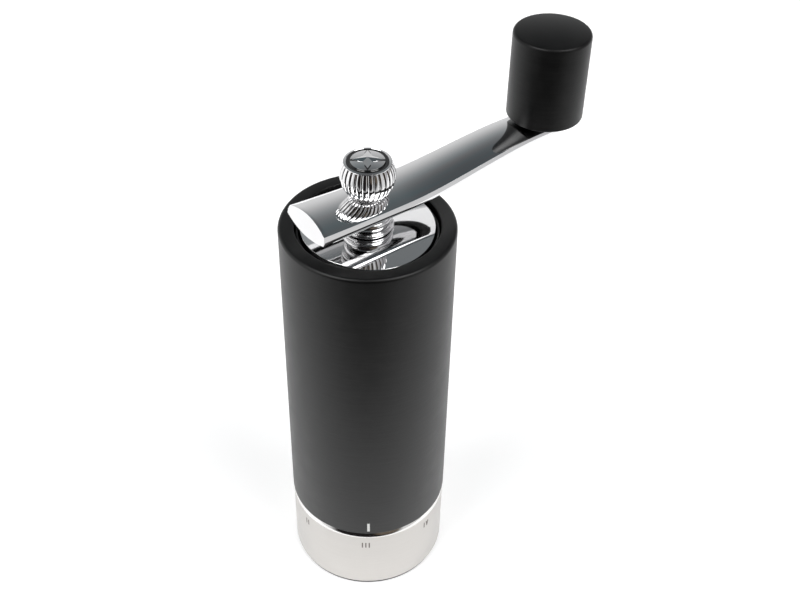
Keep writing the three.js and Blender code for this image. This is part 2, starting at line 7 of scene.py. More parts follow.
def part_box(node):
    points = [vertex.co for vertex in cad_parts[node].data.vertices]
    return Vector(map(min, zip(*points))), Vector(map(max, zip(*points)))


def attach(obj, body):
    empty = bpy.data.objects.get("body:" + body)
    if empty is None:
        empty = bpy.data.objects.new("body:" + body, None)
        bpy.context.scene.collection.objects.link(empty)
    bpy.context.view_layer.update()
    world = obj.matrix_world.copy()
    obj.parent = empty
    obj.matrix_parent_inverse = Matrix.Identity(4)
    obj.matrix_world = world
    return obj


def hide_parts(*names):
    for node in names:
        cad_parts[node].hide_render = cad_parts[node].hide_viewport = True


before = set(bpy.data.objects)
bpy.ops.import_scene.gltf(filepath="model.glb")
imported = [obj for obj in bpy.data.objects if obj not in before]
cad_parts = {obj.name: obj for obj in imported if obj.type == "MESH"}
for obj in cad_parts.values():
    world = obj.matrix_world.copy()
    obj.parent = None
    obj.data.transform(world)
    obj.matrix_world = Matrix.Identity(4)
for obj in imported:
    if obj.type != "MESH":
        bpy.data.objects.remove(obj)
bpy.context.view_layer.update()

mm = 0.001
weld = 0.004 * mm  # points closer than this become one
print("frame loaded")


def clearSelection():
    bpy.ops.object.select_all(action="DESELECT")


def pick(piece):
    clearSelection()
    piece.select_set(True)
    bpy.context.view_layer.objects.active = piece


def editAll(piece):
    pick(piece)
    bpy.ops.object.mode_set(mode="EDIT")
    bpy.ops.mesh.select_all(action="SELECT")


def leaveEdit():
    bpy.ops.object.mode_set(mode="OBJECT")


def tidyShell(piece):
    editAll(piece)
    bpy.ops.mesh.remove_doubles(threshold=weld)
    bpy.ops.mesh.normals_make_consistent(inside=False)
    leaveEdit()


def selectWhere(piece, kind, test):
    # kind is "VERT" or "FACE"; edit mode stays on, with what passes the test selected
    pick(piece)
    bpy.ops.object.mode_set(mode="EDIT")
    bpy.ops.mesh.select_mode(type=kind)
    bpy.ops.mesh.select_all(action="DESELECT")
    leaveEdit()
    if kind == "FACE":
        for face in piece.data.polygons:
            face.select = test(face.center)
    else:
        for vertex in piece.data.vertices:
            vertex.select = test(vertex.co)
    bpy.ops.object.mode_set(mode="EDIT")


def useModifier(piece, kind, **settings):
    pick(piece)
    modifier = piece.modifiers.new(kind.lower(), kind)
    for key, value in settings.items():
        setattr(modifier, key, value)
    bpy.ops.object.modifier_apply(modifier=modifier.name)


def combine(piece, operation, tool):
    # the tool is used up, as a cutter or as a part that is joined on
    useModifier(piece, "BOOLEAN", operation=operation, object=tool, solver="EXACT")
    bpy.data.objects.remove(tool)


def sliceOff(piece, place, direction):
    # takes off all that lies beyond a plane and closes the cut
    editAll(piece)
    bpy.ops.mesh.bisect(plane_co=Vector(place) * mm, plane_no=direction, use_fill=True, clear_outer=True)
    leaveEdit()


def drillHole(piece, radius, along, low, high):
    clearSelection()
    bpy.ops.mesh.primitive_cylinder_add(vertices=48, radius=radius * mm, depth=(high - low) * mm,
                                        location=(along * mm, 0, (low + high) / 2 * mm))
    combine(piece, "DIFFERENCE", bpy.context.object)


def softenEdges(piece, width, segments, angle):
    useModifier(piece, "BEVEL", width=width * mm, segments=segments, limit_method="ANGLE",
                angle_limit=math.radians(angle))


def smoothShade(piece, angle):
    pick(piece)
    bpy.ops.object.shade_smooth_by_angle(angle=math.radians(angle))


def settle(piece, turn=0.0, shift=(0, 0, 0)):
    # turns and moves a finished piece into place and leaves that in its mesh
    pick(piece)
    piece.rotation_euler.z = turn
    piece.location = Vector(shift) * mm
    bpy.ops.object.transform_apply(location=True, rotation=True, scale=True)
    return piece


def drawOutline(name, points):
    # a chain of edges, drawn by extruding one vertex from point to point; edit mode stays on
    clearSelection()
    bpy.ops.mesh.primitive_plane_add(size=mm, location=(0, 0, 0))
    piece = bpy.context.object
    piece.name = name
    bpy.ops.object.mode_set(mode="EDIT")
    bpy.ops.mesh.select_mode(type="VERT")
    bpy.ops.mesh.select_all(action="SELECT")
    bpy.ops.mesh.merge(type="CENTER")
    bpy.ops.transform.translate(value=[part * mm for part in points[0]])
    for first, second in zip(points, points[1:]):
        step = [(end - start) * mm for start, end in zip(first, second)]
        bpy.ops.mesh.extrude_region_move(TRANSFORM_OT_translate={"value": step})
    return piece


def fillOutline():
    bpy.ops.mesh.select_all(action="SELECT")
    bpy.ops.mesh.remove_doubles(threshold=weld)
    bpy.ops.mesh.edge_face_add()


def turnPiece(name, profile, steps):
    # half a section, spun about the upright axis
    piece = drawOutline(name, [(radius, 0, height) for radius, height in profile])
    bpy.ops.mesh.select_all(action="SELECT")
    bpy.ops.mesh.spin(steps=steps, angle=2 * math.pi, center=(0, 0, 0), axis=(0, 0, 1))
    leaveEdit()
    tidyShell(piece)
    return piece


def arcPoints(radius, centreR, centreZ, start, end, steps):
    # points of a round stretch of a section, angles in degrees
    points = []
    for i in range(steps + 1):
        angle = math.radians(start + (end - start) * i / steps)
        points.append((centreR + radius * math.cos(angle), centreZ + radius * math.sin(angle)))
    return points


def domePoints(radius, foot, top, steps=8):
    # a shallow dome, from just inside its edge to the axis
    shares = [i / steps for i in range(1, steps + 1)]
    return [(radius * (1 - share), foot + (top - foot) * (1 - (1 - share) ** 2)) for share in shares]


def finishPiece(piece, body, material, slotName, *nodes):
    piece.data.materials.clear()
    piece.data.materials.append(material)
    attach(piece, body)
    if nodes:
        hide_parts(*nodes)


def finishFaces(piece, material, test):
    # a second finish, for the faces whose middle passes the test
    piece.data.materials.append(material)
    piece.active_material_index = 1
    selectWhere(piece, "FACE", test)
    bpy.ops.object.material_slot_assign()
    leaveEdit()


class Value:
    # shader maths: a node's output that ordinary sums work on
    def __init__(self, shading, output):
        self.shading = shading
        self.output = output

    def sum(self, operation, other):
        return self.shading.node("Math", {"operation": operation}, {0: self, 1: other})

    def __add__(self, other):
        return self.sum("ADD", other)

    def __mul__(self, other):
        return self.sum("MULTIPLY", other)

    __radd__ = __add__
    __rmul__ = __mul__


class Shading:
    # a node tree, with one way to make any node in it
    def __init__(self, tree):
        self.tree = tree

    def join(self, socket, part):
        if isinstance(part, Value):
            self.tree.links.new(part.output, socket)
        else:
            socket.default_value = part

    def node(self, kind, settings=None, sockets=None, output=0):
        # the settings are made first; a socket, named or numbered, takes a value or a link
        made = self.tree.nodes.new("ShaderNode" + kind)
        for key, value in (settings or {}).items():
            setattr(made, key, value)
        for key, part in (sockets or {}).items():
            self.join(made.inputs[key], part)
        return Value(self, made.outputs[output])

    def noise(self, vector, scale, detail, roughness=0.55):
        return self.node("TexNoise", {}, {"Vector": vector, "Scale": scale, "Detail": detail,
                                          "Roughness": roughness})

    def dot(self, vector, direction):
        return self.node("VectorMath", {"operation": "DOT_PRODUCT"}, {0: vector, 1: direction}, "Value")

    def smooth(self, value, low, high):
        return self.node("MapRange", {"interpolation_type": "SMOOTHSTEP"}, {0: value, 1: low, 2: high})

    def mix(self, factor, first, second):
        return self.node("Mix", {"data_type": "RGBA"}, {0: factor, 6: first, 7: second}, 2)


class Finish(Shading):
    # one material: the shader's plain values, then whatever varies over the surface
    def __init__(self, name, plain):
        self.material = bpy.data.materials.new(name)
        self.material.use_nodes = True
        super().__init__(self.material.node_tree)
        self.shader = self.tree.nodes["Principled BSDF"]
        for key, value in plain.items():
            self.shader.inputs[key].default_value = value

    def pattern(self, scale, detail, roughness=0.55, shift=(0, 0, 0)):
        # noise on the piece's own coordinates, with a scale for each axis
        spot = self.node("TexCoord", output="Object")
        place = self.node("Mapping", {}, {"Vector": spot, "Scale": scale, "Location": shift})
        return self.noise(place, 1.0, detail, roughness)

    def feed(self, socketName, value):
        self.join(self.shader.inputs[socketName], value)

    def bump(self, height, depth, strength):
        sockets = {"Height": height, "Distance": depth * mm, "Strength": strength}
        self.feed("Normal", self.node("Bump", {}, sockets))


def grey(level, warmth=0.0):
    return (level * (1 + warmth), level, level * (1 - warmth), 1)


# black lacquer over turned wood: fine grain lies around the sleeve, with a little dust and mottling
lacquer = {"deep": grey(0.0015), "worn": grey(0.005), "wornEdge": (0.4, 0.68), "gloss": 0.32,
           "lines": (90, 90, 1100), "mottle": (160, 160, 160), "grain": (2600, 2600, 2600),
           "depth": 0.09}


def lacquerFinish(name, shift, specular):
    finish = Finish(name, {"Specular IOR Level": specular})
    lines = finish.pattern(lacquer["lines"], 5, 0.6, shift)
    mottle = finish.pattern(lacquer["mottle"], 3, shift=shift)
    grain = finish.pattern(lacquer["grain"], 2, shift=shift)
    worn = finish.smooth(lines * 0.5 + mottle * 0.5, *lacquer["wornEdge"])
    finish.feed("Base Color", finish.mix(worn, lacquer["deep"], lacquer["worn"]))
    finish.feed("Roughness", lacquer["gloss"] + 0.1 * mottle + 0.05 * lines)
    finish.bump(lines * 0.45 + mottle * 0.25 + grain * 0.3, lacquer["depth"], 0.5)
    return finish.material


# satin steel of the setting ring: brushed around, warm, with faint smudges from fingers
satin = {"light": (0.62, 0.6, 0.578, 1), "shade": (0.53, 0.512, 0.49, 1), "gloss": 0.24,
         "brush": (60, 60, 9000), "smudge": (70, 70, 90), "depth": 0.004}


def satinFinish():
    finish = Finish("satinSteel", {"Metallic": 1.0})
    brush = finish.pattern(satin["brush"], 3, 0.7)
    smudge = finish.pattern(satin["smudge"], 3)
    finish.feed("Base Color", finish.mix(brush, satin["light"], satin["shade"]))
    finish.feed("Roughness", satin["gloss"] + 0.06 * brush + 0.08 * smudge)
    finish.bump(brush, satin["depth"], 0.35)
    return finish.material


# the ring's bevel is polished after the rest is brushed
bevelPolish = {"light": (0.88, 0.87, 0.86, 1), "shade": (0.8, 0.79, 0.78, 1), "gloss": 0.07,
               "haze": (140, 140, 500)}


def bevelFinish():
    finish = Finish("brightSteel", {"Metallic": 1.0})
    haze = finish.pattern(bevelPolish["haze"], 3)
    finish.feed("Base Color", finish.mix(haze, bevelPolish["light"], bevelPolish["shade"]))
    finish.feed("Roughness", bevelPolish["gloss"] + 0.05 * haze)
    return finish.material


# polished chrome: almost a mirror, with a breath of haze and wiping marks
polish = {"light": (0.82, 0.822, 0.83, 1), "shade": (0.77, 0.765, 0.765, 1), "gloss": 0.025,
          "haze": (110, 110, 110), "wiping": (900, 140, 140), "depth": 0.02}


def chromeFinish():
    finish = Finish("polishedChrome", {"Metallic": 1.0})
    haze = finish.pattern(polish["haze"], 3)
    wiping = finish.pattern(polish["wiping"], 2)
    finish.feed("Base Color", finish.mix(haze, polish["light"], polish["shade"]))
    finish.feed("Roughness", polish["gloss"] + 0.03 * haze + 0.015 * wiping)
    finish.bump(haze, polish["depth"], 0.12)
    return finish.material


def plainMetal(name, light, shade, gloss, scale, depth):
    finish = Finish(name, {"Metallic": 1.0})
    toolMarks = finish.pattern(scale, 4, 0.6)
    finish.feed("Base Color", finish.mix(toolMarks, light, shade))
    finish.feed("Roughness", gloss - 0.08 + 0.2 * toolMarks)
    finish.bump(toolMarks, depth, 0.5)
    return finish.material


def softBlack(name, level, gloss, grainScale, depth, specular):
    finish = Finish(name, {"Specular IOR Level": specular})
    grain = finish.pattern((grainScale,) * 3, 3)
    cloud = finish.pattern((120, 120, 120), 2)
    finish.feed("Base Color", finish.mix(cloud, grey(level), grey(1.6 * level)))
    finish.feed("Roughness", gloss - 0.05 + 0.1 * grain)
    finish.bump(grain, depth, 0.5)
    return finish.material


def paint(name, colour, gloss):
    finish = Finish(name, {})
    speck = finish.pattern((1500, 1500, 1500), 2)
    dull = tuple(0.8 * part for part in colour[:3]) + (1,)
    finish.feed("Base Color", finish.mix(speck, colour, dull))
    finish.feed("Roughness", gloss + 0.1 * speck)
    return finish.material


sleeveLacquer = lacquerFinish("sleeveLacquer", (0, 0, 0), 0.32)
knobLacquer = lacquerFinish("knobLacquer", (0.3, 0.1, 0.7), 0.23)
satinSteel = satinFinish()
brightSteel = bevelFinish()
chrome = chromeFinish()
mouldedBlack = softBlack("mouldedBlack", level=0.006, gloss=0.42, grainScale=3200, depth=0.02, specular=0.4)
softRubber = softBlack("softRubber", level=0.012, gloss=0.7, grainScale=2400, depth=0.02, specular=0.3)
darkInlay = softBlack("darkInlay", level=0.004, gloss=0.1, grainScale=900, depth=0.003, specular=0.8)
hardSteel = plainMetal("hardSteel", light=grey(0.36), shade=grey(0.2, 0.03), gloss=0.36,
                       scale=(300, 300, 2600), depth=0.01)
castAlloy = plainMetal("castAlloy", light=grey(0.6), shade=grey(0.48), gloss=0.5,
                       scale=(1400, 1400, 1400), depth=0.03)
turnedBronze = plainMetal("turnedBronze", light=(0.62, 0.42, 0.2, 1), shade=(0.45, 0.28, 0.12, 1),
                          gloss=0.34, scale=(200, 200, 4000), depth=0.008)
etched = paint("etchedMarks", (0.16, 0.14, 0.125, 1), 0.5)
whiteFill = paint("whiteFill", (0.86, 0.86, 0.84, 1), 0.4)
print("finishes made")


# where the frame's nodes lie: heights and outer radius in millimetres
def spanOf(node):
    low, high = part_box(node)
    reach = max(math.hypot(v.co.x, v.co.y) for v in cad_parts[node].data.vertices)
    return {"bottom": low.z / mm, "top": high.z / mm, "radius": reach / mm}


sleeve = spanOf("body_sleeve")
ring = spanOf("grind_ring")
cap = spanOf("base_cap")
liner = spanOf("hopper_liner")
housing = spanOf("mechanism_housing")
cover = spanOf("cover")
collar = spanOf("collar")
nut = spanOf("ball_nut")
inlay = spanOf("nut_medallion")
knobLow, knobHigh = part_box("knob")
knobMiddle = (knobLow + knobHigh) / 2
crankAngle = math.atan2(knobMiddle.y, knobMiddle.x)
crankRadius = math.hypot(knobMiddle.x, knobMiddle.y) / mm

# the sleeve, with a soft outer fillet on its rim
sleeveShape = {"bore": 21.3, "foot": 0.3, "rimRound": 1.1, "boreRound": 0.4, "gap": 0.3}


def makeSleeve():
    size = sleeveShape
    seat = housing["radius"] + size["gap"]
    shelf = housing["top"] + size["gap"]
    low, high, radius = sleeve["bottom"], sleeve["top"], sleeve["radius"]
    outer, inner = size["rimRound"], size["boreRound"]
    profile = [(size["bore"], shelf), (seat, shelf), (seat, low), (radius - size["foot"], low)]
    profile += arcPoints(size["foot"], radius - size["foot"], low + size["foot"], -60, 0, 2)
    profile += arcPoints(outer, radius - outer, high - outer, 0, 90, 8)
    profile += arcPoints(inner, size["bore"] + inner, high - inner, 90, 180, 5)
    profile.append(profile[0])
    piece = turnPiece("sleeve_body", profile, 180)
    smoothShade(piece, 35)
    finishPiece(piece, "housing", sleeveLacquer, "lacquered_wood", "body_sleeve")


makeSleeve()

# the tube that lines the hopper, chamfered at its mouth
linerShape = {"wall": 0.9, "outerEdge": 0.3, "innerEdge": 0.2}


def makeLiner():
    size = linerShape
    low, high, radius = liner["bottom"], liner["top"], liner["radius"]
    bore = radius - size["wall"]
    profile = [(bore, low), (radius, low), (radius, high - size["outerEdge"]),
               (radius - size["outerEdge"], high), (bore + size["innerEdge"], high),
               (bore, high - size["innerEdge"]), (bore, low)]
    piece = turnPiece("liner_tube", profile, 128)
    smoothShade(piece, 35)
    finishPiece(piece, "housing", mouldedBlack, "black_plastic", "hopper_liner")


makeLiner()

# the setting ring: outer face, polished round shoulder, inner web and groove for its clip
ringShape = {"shoulder": 1.7, "inset": 0.9, "foot": 0.3, "ease": 0.12, "sideIn": 0.03, "topIn": 0.05,
             "bulge": 0.05, "webRadius": 18.9, "webBottom": 11.3, "webTop": 18.9, "skirtBore": 23.6,
             "bore": 21.0, "clipBore": 21.9, "clipLow": 21.7, "clipHigh": 23.4, "pocket": 24.0,
             "pocketFloor": 26.0}


def makeRing():
    size = ringShape
    low, high, radius = ring["bottom"], ring["top"], ring["radius"]
    foot, ease = size["foot"], size["ease"]
    edge, shoulder = radius - size["inset"], high - size["shoulder"]
    profile = [(size["webRadius"], size["webBottom"]), (size["skirtBore"], size["webBottom"]),
               (size["skirtBore"], low), (radius - foot, low)]
    profile += arcPoints(foot, radius - foot, low + foot, -70, 0, 4)
    # the bevel bulges a little between its two eased edges
    share = 0.5 + size["bulge"]
    profile += [(radius, shoulder - ease), (radius - size["sideIn"], shoulder + ease),
                (edge + share * size["inset"], shoulder + share * size["shoulder"]),
                (edge + ease, high - ease), (edge - size["topIn"], high)]
    profile += [(size["pocket"], high), (size["pocket"], size["pocketFloor"]),
                (size["bore"], size["pocketFloor"]), (size["bore"], size["clipHigh"]),
                (size["clipBore"], size["clipHigh"]), (size["clipBore"], size["clipLow"]),
                (size["bore"], size["clipLow"]), (size["bore"], size["webTop"]),
                (size["webRadius"], size["webTop"])]
    profile.append(profile[0])
    piece = turnPiece("setting_ring_shell", profile, 180)
    smoothShade(piece, 22)
    finishPiece(piece, "setting_ring", satinSteel, "satin_steel", "grind_ring")

    def isShoulder(place):
        return place.z > (shoulder - ease / 2) * mm and math.hypot(place.x, place.y) > edge * mm

    finishFaces(piece, brightSteel, isShoulder)


makeRing()

# the pull-off cap under the ring: a flange, made tall so that its black shows as a thin dark line standing
# in for the shade in the gap under the ring, and the cup inside
capShape = {"flange": 1.0, "flangeIn": 0.35, "flangeUp": 0.25, "wallRadius": 23.3, "wall": 1.6, "rim": 0.3,
            "floor": 1.8, "corner": 2, "sealZ": 7, "sealRoom": 0.8, "sealDepth": 1.0}


def makeCap():
    size = capShape
    top, radius = cap["top"], cap["radius"]
    outer, rim, corner = size["wallRadius"], size["rim"], size["corner"]
    inner, groove = outer - size["wall"], outer - size["sealDepth"]
    sealLow, sealHigh = size["sealZ"] - size["sealRoom"], size["sealZ"] + size["sealRoom"]
    profile = [(0, 0), (radius - size["flangeIn"], 0), (radius, size["flangeUp"]),
               # the flange's height is what lets the black show as the dark shade line at the ring's foot
               (radius, size["flange"]), (outer, size["flange"])]
    profile += [(outer, sealLow), (groove, sealLow), (groove, sealHigh), (outer, sealHigh)]
    profile += [(outer, top - rim), (outer - rim, top), (inner + rim, top), (inner, top - rim)]
    profile += arcPoints(corner, inner - corner, size["floor"] + corner, 0, -90, 6)
    profile.append((0, size["floor"]))
    piece = turnPiece("grounds_cup", profile, 128)
    smoothShade(piece, 35)
    finishPiece(piece, "cap", mouldedBlack, "black_plastic", "base_cap")


makeCap()
print("body, ring and cap made")

# marks: a white index line on the sleeve, and six settings etched as numerals on the ring
marks = {"indexWidth": 0.85, "indexHeight": 4.0, "indexLift": 1.3, "stroke": 0.42, "numeralHeight": 2.5,
         "numeralDrop": 4.6, "pitch": 1.15, "wide": 1.84, "slant": 11, "splay": 1.2, "thirdAt": -92,
         "spacing": 360 / 7, "depth": 0.16, "proud": 0.03}


def makeStroke(width, height, radius, angle, middle, lean=0.0, offset=0.0):
    # a thin plate let into a round wall, offset along the wall and leaning by a few degrees
    clearSelection()
    bpy.ops.mesh.primitive_cube_add(size=mm, location=(0, 0, 0))
    stroke = bpy.context.object
    stroke.scale = (marks["depth"], width, height)
    stroke.rotation_euler.x = math.radians(lean)
    bpy.ops.object.transform_apply(rotation=True, scale=True)
    reach = radius + marks["proud"] - marks["depth"] / 2
    turn = math.radians(angle) + offset / radius
    place = (reach * math.cos(turn), reach * math.sin(turn), middle)
    return settle(stroke, turn, place)


def joinPieces(name, parts):
    clearSelection()
    for part in parts:
        part.select_set(True)
    bpy.context.view_layer.objects.active = parts[0]
    bpy.ops.object.join()
    parts[0].name = name
    return parts[0]


def makeMarks():
    size = marks
    middle = sleeve["bottom"] + size["indexLift"] + size["indexHeight"] / 2
    index = makeStroke(size["indexWidth"], size["indexHeight"], sleeve["radius"], -90, middle)
    index.name = "index_line"
    softenEdges(index, 0.02, 1, 25)
    finishPiece(index, "housing", whiteFill, "lacquered_wood")
    # each numeral is a row of signs: "I" is one stroke, "V" two that lean together
    numerals = ["I", "II", "III", "IV", "V", "VI"]
    strokes = []
    splay = size["splay"] * math.sin(math.radians(size["slant"]))
    middle = ring["top"] - size["numeralDrop"] - size["numeralHeight"] / 2
    for i, numeral in enumerate(numerals):
        angle = size["thirdAt"] + (i - 2) * size["spacing"]
        widths = [size["pitch"] if sign == "I" else size["wide"] for sign in numeral]
        start = -sum(widths) / 2
        for sign, width in zip(numeral, widths):
            centre = start + width / 2
            start += width
            shifts = [(0, 0)] if sign == "I" else [(-1, size["slant"]), (1, -size["slant"])]
            for side, lean in shifts:
                strokes.append(makeStroke(size["stroke"], size["numeralHeight"], ring["radius"], angle,
                                          middle, lean, centre + side * splay))
    finishPiece(joinPieces("ring_numerals", strokes), "setting_ring", etched, "satin_steel")


makeMarks()

# the polished cover: a level strip under the crank, and a facet that falls away on either side
coverShape = {"crease": 10.6, "drop": 1.1, "plate": 1.6, "skirt": 5, "wall": 1.2, "edge": 0.45}
squareHole = {"width": 4.85, "beyond": 1}  # for the spindle's squared end, through all of the crank head


def cutSquareHole(piece, low, high):
    clearSelection()
    bpy.ops.mesh.primitive_cube_add(size=mm, location=(0, 0, (low + high) / 2 * mm))
    cutter = bpy.context.object
    cutter.scale = (squareHole["width"], squareHole["width"], high - low + 2 * squareHole["beyond"])
    bpy.ops.object.transform_apply(scale=True)
    combine(piece, "DIFFERENCE", cutter)


def makeCover():
    size = coverShape
    top, radius = cover["top"], cover["radius"]
    plate = top - size["drop"] - size["plate"]
    skirt = top - size["drop"] - size["skirt"]
    inner = radius - size["wall"]
    profile = [(0, plate), (inner, plate), (inner, skirt), (radius, skirt), (radius, top), (0, top)]
    piece = turnPiece("polished_cover", profile, 160)
    slope = math.atan(size["drop"] / (radius - size["crease"]))
    for side in (-1, 1):
        sliceOff(piece, (0, side * size["crease"], top), (0, side * math.sin(slope), math.cos(slope)))
    cutSquareHole(piece, plate, top)
    softenEdges(piece, size["edge"], 3, 30)
    smoothShade(piece, 5)
    settle(piece, crankAngle)
    finishPiece(piece, "crank_head", chrome, "chrome", "cover")


makeCover()

# the turned collar: two beads with a fine groove between them
collarShape = {"radius": 7.6, "foot": 0.6, "waistDip": 0.45, "groove": 0.15, "upperInset": 0.3}


def makeCollar():
    size = collarShape
    low, high = collar["bottom"], collar["top"]
    foot = size["foot"]
    waist = low + 2 * foot + size["groove"]
    bead = (high - waist - size["groove"]) / 2
    upper = size["radius"] - size["upperInset"]
    profile = [(0, low)]
    profile += arcPoints(foot, size["radius"] - foot, low + foot, -90, 90, 12)
    profile.append((upper - bead - size["waistDip"], waist))
    profile += arcPoints(bead, upper - bead, high - bead, -90, 90, 20)
    profile.append((0, high))
    piece = turnPiece("turned_collar", profile, 96)
    cutSquareHole(piece, low, high)
    smoothShade(piece, 40)
    settle(piece, crankAngle)
    finishPiece(piece, "crank_head", chrome, "chrome", "collar")


makeCollar()

# the crank: a lens section drawn out along the arm, narrowing and climbing to the knob
armShape = {"lift": 6.4, "tail": 20.2, "overhang": 8.4, "rootHalfWidth": 8.7, "taper": 0.0342, "edge": 2.3,
            "upright": 1.1, "lean": 0.35, "flare": 0.1, "crown": 1.8, "belly": 1.5, "rise": 4.8,
            "climbStart": 8, "climbShort": 6.3, "tailRise": 0.35, "tailSlant": 14, "tailRoom": 3,
            "edgeRound": 0.2, "pinHole": 2.8, "stations": 64, "sectionSteps": 24, "beyond": 20}


def armClimb(along):
    size = armShape
    start, end = size["climbStart"], crankRadius - size["climbShort"]
    t = min(max((along - start) / (end - start), 0), 1)
    tail = min(along / size["tail"], 0)
    return size["rise"] * t * t * (3 - 2 * t) + size["tailRise"] * tail * tail


def armHalfWidth(along):
    return armShape["rootHalfWidth"] - armShape["taper"] * along


def makeArm():
    size = armShape
    foot = sleeve["top"] + size["lift"]
    steps = size["sectionSteps"]
    start = -size["tail"] - size["tailRoom"]
    middle = foot + size["edge"] / 2
    startMiddle = middle + armClimb(start)

    def sectionPoint(t, edge, swell, wider):
        spread = armHalfWidth(start) / size["rootHalfWidth"]
        level = edge + swell * (1 - t * t)
        return (start, t * (armHalfWidth(start) + wider), startMiddle + (level - size["edge"] / 2) * spread)

    # the edge is upright below and leans in above
    across = [1 - 2 * i / steps for i in range(steps + 1)]
    points = [sectionPoint(t, size["edge"], size["crown"], -size["lean"]) for t in across]
    points.append(sectionPoint(-1, size["upright"], 0, size["flare"]))
    points += [sectionPoint(t, 0, -size["belly"], size["flare"]) for t in reversed(across)]
    points.append(sectionPoint(1, size["upright"], 0, size["flare"]))
    points.append(points[0])
    piece = drawOutline("crank_arm_bar", points)
    fillOutline()
    length = size["tail"] + size["tailRoom"] + crankRadius + size["overhang"]
    for i in range(size["stations"]):
        before = start + length * i / size["stations"]
        along = start + length * (i + 1) / size["stations"]
        step = Vector((along - before, 0, armClimb(along) - armClimb(before))) * mm
        bpy.ops.mesh.extrude_region_move(TRANSFORM_OT_translate={"value": step})
        spread = armHalfWidth(along) / armHalfWidth(before)
        centre = Vector((along, 0, middle + armClimb(along))) * mm
        bpy.ops.transform.resize(value=(1, spread, spread), center_override=centre)
    leaveEdit()
    tidyShell(piece)
    # a block with a rounded end, drawn in plan, leaves the arm its round tip
    half = armHalfWidth(crankRadius)
    tip = crankRadius + size["overhang"] - half
    wide, back = size["rootHalfWidth"] + size["beyond"], start - size["beyond"]
    plan = [(back, -wide), (tip, -wide)] + arcPoints(half, tip, 0, -90, 90, 32) + [(tip, wide), (back, wide)]
    plan.append(plan[0])
    block = drawOutline("arm_plan", [(x, y, foot - size["beyond"]) for x, y in plan])
    fillOutline()
    bpy.ops.mesh.extrude_region_move(TRANSFORM_OT_translate={"value": (0, 0, 2 * size["beyond"] * mm)})
    leaveEdit()
    tidyShell(block)
    combine(piece, "INTERSECT", block)
    slant = math.radians(size["tailSlant"])
    tail = -size["tail"]
    tailTop = middle + armClimb(tail) + size["edge"] / 2 * armHalfWidth(tail) / armHalfWidth(0)
    sliceOff(piece, (tail, 0, tailTop), (-math.cos(slant), 0, math.sin(slant)))
    cutSquareHole(piece, foot - size["belly"], foot + size["edge"] + size["crown"])
    drillHole(piece, size["pinHole"], crankRadius, foot - size["beyond"], foot + size["beyond"])
    softenEdges(piece, size["edgeRound"], 3, 40)
    smoothShade(piece, 25)
    settle(piece, crankAngle)
    finishPiece(piece, "crank_head", chrome, "chrome", "crank_arm")


makeArm()
print("cover, collar and crank made")

# the ball nut: ribs drawn round one ring of points, then the ring is lifted and resized up the ball
ballShape = {"ribs": 28, "perRib": 10, "depth": 0.06, "neck": 4, "stand": 6.3, "belt": 6.8, "lip": 6.32,
             "seat": 6.15, "seatDepth": 0.7, "insertBore": 3.5, "boreTop": 6.4, "levels": 22,
             "turnIn": -42, "foot": 5.3, "footHeight": 0.5, "sink": 0.22, "beltSink": 0.15,
             "beltRound": 0.25, "beltProud": 0.05, "lipSlope": 0.12, "lipEdge": 0.06, "lipIn": 0.05,
             "seatEdge": 0.08}


def makeBallNut():
    size = ballShape
    low, radius = nut["bottom"], nut["radius"]
    centre = low + size["stand"]
    low -= size["sink"]
    start = math.radians(size["turnIn"])
    end = math.acos(size["belt"] / radius)
    turns = [start + (end - start) * i / size["levels"] for i in range(size["levels"] + 1)]
    ball = [(radius * math.cos(t), centre + radius * math.sin(t)) for t in turns]
    levels = [(size["neck"], low), (size["foot"], low + size["footHeight"])]
    levels += ball
    count = size["ribs"] * size["perRib"]
    clearSelection()
    bpy.ops.mesh.primitive_circle_add(vertices=count, radius=levels[0][0] * mm, fill_type="NGON",
                                      location=(0, 0, 0))
    piece = bpy.context.object
    piece.name = "fluted_ball_nut"
    # how far each point of a rib lies in from its crest
    shares = [1, 0.42, 0.08, 0.01, 0, 0, 0, 0.01, 0.08, 0.42]
    for share in sorted(set(shares), reverse=True)[:-1]:
        chosen = [i for i, part in enumerate(shares) if part == share]

        def onLine(place):
            turn = math.atan2(place.y, place.x) / (2 * math.pi) * count
            return round(turn) % size["perRib"] in chosen

        selectWhere(piece, "VERT", onLine)
        inward = 1 - size["depth"] * share
        bpy.ops.transform.resize(value=(inward, inward, 1), center_override=(0, 0, 0))
        leaveEdit()
    editAll(piece)
    bpy.ops.transform.translate(value=(0, 0, low * mm))
    for (radiusA, heightA), (radiusB, heightB) in zip(levels, levels[1:]):
        step = (0, 0, (heightB - heightA) * mm)
        bpy.ops.mesh.extrude_region_move(TRANSFORM_OT_translate={"value": step})
        spread = radiusB / radiusA
        bpy.ops.transform.resize(value=(spread, spread, 1), center_override=(0, 0, heightB * mm))
    leaveEdit()
    tidyShell(piece)
    drillHole(piece, size["insertBore"], 0, low - size["boreTop"], low + size["boreTop"])
    # a plain belt above the ribs, with the seat for the inlay sunk in it
    beltLow = levels[-1][1] - size["beltSink"]
    beltTop = inlay["bottom"] + size["seatDepth"]
    edge, lip, seat = size["beltRound"], size["lip"], size["seat"]
    profile = [(0, beltLow)]
    profile += arcPoints(edge, size["belt"] + size["beltProud"] - edge, beltLow + edge, -90, 30, 5)
    profile += [(lip + size["lipSlope"], beltTop - size["lipEdge"]), (lip - size["lipIn"], beltTop),
                (seat + size["seatEdge"], beltTop), (seat, beltTop - size["seatEdge"]),
                (seat, inlay["bottom"]), (0, inlay["bottom"])]
    combine(piece, "UNION", turnPiece("nut_belt", profile, 112))
    smoothShade(piece, 40)
    finishPiece(piece, "nut", chrome, "chrome", "ball_nut")


makeBallNut()

